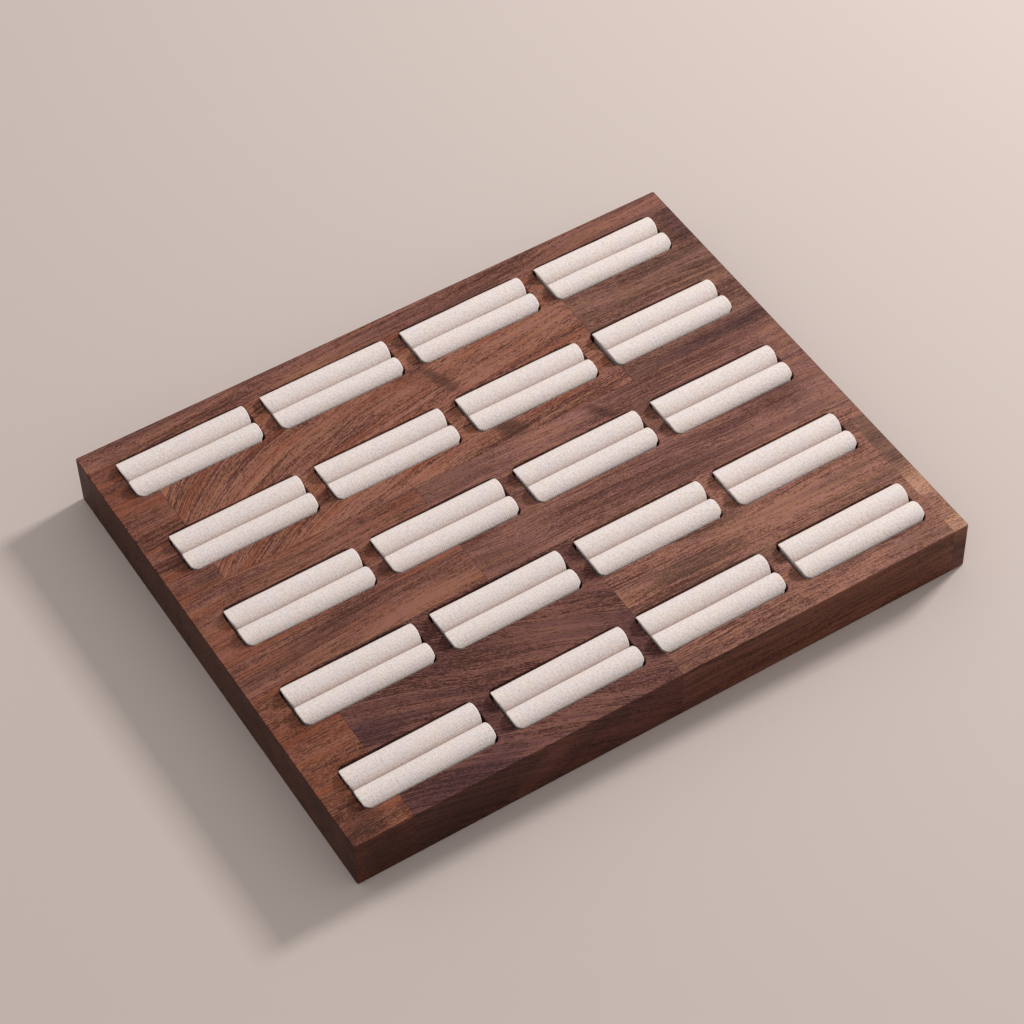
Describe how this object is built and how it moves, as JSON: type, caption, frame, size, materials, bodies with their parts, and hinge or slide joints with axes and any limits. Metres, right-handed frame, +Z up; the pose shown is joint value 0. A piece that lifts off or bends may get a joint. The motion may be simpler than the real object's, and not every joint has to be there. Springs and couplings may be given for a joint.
{
  "type": "bracelet display tray",
  "caption": "Flat walnut board with rows of pockets, each holding a lift-out pad of two linen rolls that grip bracelets or rings in the groove between them.",
  "frame": {"origin": "middle of the board's underside", "axes": "+X along the long side to the right, +Y across the board to the back edge, +Z up out of the pads"},
  "size_m": [0.25, 0.2, 0.0248],
  "materials": {
    "walnut_back_rail": "satin oiled walnut, sanded smooth",
    "walnut_stave_b_left": "satin oiled walnut, sanded smooth",
    "walnut_stave_b_middle": "satin oiled walnut, sanded smooth",
    "walnut_stave_b_right": "satin oiled walnut, sanded smooth",
    "walnut_stave_c_left": "satin oiled walnut, sanded smooth",
    "walnut_stave_c_right": "satin oiled walnut, sanded smooth",
    "walnut_stave_d_left": "satin oiled walnut, sanded smooth",
    "walnut_stave_d_middle": "satin oiled walnut, sanded smooth",
    "walnut_stave_d_right": "satin oiled walnut, sanded smooth",
    "walnut_edge_strip": "satin oiled walnut, sanded smooth",
    "linen": "plain-woven off-white linen",
    "foam": "soft open-cell foam"
  },
  "bodies": {
    "board": {"back_rail": "walnut_back_rail", "stave_b_left": "walnut_stave_b_left", "stave_b_middle": "walnut_stave_b_middle", "stave_b_right": "walnut_stave_b_right", "stave_c_left": "walnut_stave_c_left", "stave_c_right": "walnut_stave_c_right", "stave_d_left": "walnut_stave_d_left", "stave_d_middle": "walnut_stave_d_middle", "stave_d_right": "walnut_stave_d_right", "edge_strip": "walnut_edge_strip"},
    "pad_r1c1": {"pad_r1c1_foam": "foam", "pad_r1c1_linen": "linen"},
    "pad_r1c2": {"pad_r1c2_foam": "foam", "pad_r1c2_linen": "linen"},
    "pad_r1c3": {"pad_r1c3_foam": "foam", "pad_r1c3_linen": "linen"},
    "pad_r1c4": {"pad_r1c4_foam": "foam", "pad_r1c4_linen": "linen"},
    "pad_r2c1": {"pad_r2c1_foam": "foam", "pad_r2c1_linen": "linen"},
    "pad_r2c2": {"pad_r2c2_foam": "foam", "pad_r2c2_linen": "linen"},
    "pad_r2c3": {"pad_r2c3_foam": "foam", "pad_r2c3_linen": "linen"},
    "pad_r2c4": {"pad_r2c4_foam": "foam", "pad_r2c4_linen": "linen"},
    "pad_r3c1": {"pad_r3c1_foam": "foam", "pad_r3c1_linen": "linen"},
    "pad_r3c2": {"pad_r3c2_foam": "foam", "pad_r3c2_linen": "linen"},
    "pad_r3c3": {"pad_r3c3_foam": "foam", "pad_r3c3_linen": "linen"},
    "pad_r3c4": {"pad_r3c4_foam": "foam", "pad_r3c4_linen": "linen"},
    "pad_r4c1": {"pad_r4c1_foam": "foam", "pad_r4c1_linen": "linen"},
    "pad_r4c2": {"pad_r4c2_foam": "foam", "pad_r4c2_linen": "linen"},
    "pad_r4c3": {"pad_r4c3_foam": "foam", "pad_r4c3_linen": "linen"},
    "pad_r4c4": {"pad_r4c4_foam": "foam", "pad_r4c4_linen": "linen"},
    "pad_r5c1": {"pad_r5c1_foam": "foam", "pad_r5c1_linen": "linen"},
    "pad_r5c2": {"pad_r5c2_foam": "foam", "pad_r5c2_linen": "linen"},
    "pad_r5c3": {"pad_r5c3_foam": "foam", "pad_r5c3_linen": "linen"},
    "pad_r5c4": {"pad_r5c4_foam": "foam", "pad_r5c4_linen": "linen"}
  },
  "joints": [
    {"name": "pad_r1c1_lift", "type": "slide", "parent": "board", "child": "pad_r1c1", "axis": [0, 0, 1], "range_m": [0, 0.025]},
    {"name": "pad_r1c2_lift", "type": "slide", "parent": "board", "child": "pad_r1c2", "axis": [0, 0, 1], "range_m": [0, 0.025]},
    {"name": "pad_r1c3_lift", "type": "slide", "parent": "board", "child": "pad_r1c3", "axis": [0, 0, 1], "range_m": [0, 0.025]},
    {"name": "pad_r1c4_lift", "type": "slide", "parent": "board", "child": "pad_r1c4", "axis": [0, 0, 1], "range_m": [0, 0.025]},
    {"name": "pad_r2c1_lift", "type": "slide", "parent": "board", "child": "pad_r2c1", "axis": [0, 0, 1], "range_m": [0, 0.025]},
    {"name": "pad_r2c2_lift", "type": "slide", "parent": "board", "child": "pad_r2c2", "axis": [0, 0, 1], "range_m": [0, 0.025]},
    {"name": "pad_r2c3_lift", "type": "slide", "parent": "board", "child": "pad_r2c3", "axis": [0, 0, 1], "range_m": [0, 0.025]},
    {"name": "pad_r2c4_lift", "type": "slide", "parent": "board", "child": "pad_r2c4", "axis": [0, 0, 1], "range_m": [0, 0.025]},
    {"name": "pad_r3c1_lift", "type": "slide", "parent": "board", "child": "pad_r3c1", "axis": [0, 0, 1], "range_m": [0, 0.025]},
    {"name": "pad_r3c2_lift", "type": "slide", "parent": "board", "child": "pad_r3c2", "axis": [0, 0, 1], "range_m": [0, 0.025]},
    {"name": "pad_r3c3_lift", "type": "slide", "parent": "board", "child": "pad_r3c3", "axis": [0, 0, 1], "range_m": [0, 0.025]},
    {"name": "pad_r3c4_lift", "type": "slide", "parent": "board", "child": "pad_r3c4", "axis": [0, 0, 1], "range_m": [0, 0.025]},
    {"name": "pad_r4c1_lift", "type": "slide", "parent": "board", "child": "pad_r4c1", "axis": [0, 0, 1], "range_m": [0, 0.025]},
    {"name": "pad_r4c2_lift", "type": "slide", "parent": "board", "child": "pad_r4c2", "axis": [0, 0, 1], "range_m": [0, 0.025]},
    {"name": "pad_r4c3_lift", "type": "slide", "parent": "board", "child": "pad_r4c3", "axis": [0, 0, 1], "range_m": [0, 0.025]},
    {"name": "pad_r4c4_lift", "type": "slide", "parent": "board", "child": "pad_r4c4", "axis": [0, 0, 1], "range_m": [0, 0.025]},
    {"name": "pad_r5c1_lift", "type": "slide", "parent": "board", "child": "pad_r5c1", "axis": [0, 0, 1], "range_m": [0, 0.025]},
    {"name": "pad_r5c2_lift", "type": "slide", "parent": "board", "child": "pad_r5c2", "axis": [0, 0, 1], "range_m": [0, 0.025]},
    {"name": "pad_r5c3_lift", "type": "slide", "parent": "board", "child": "pad_r5c3", "axis": [0, 0, 1], "range_m": [0, 0.025]},
    {"name": "pad_r5c4_lift", "type": "slide", "parent": "board", "child": "pad_r5c4", "axis": [0, 0, 1], "range_m": [0, 0.025]}
  ]
}
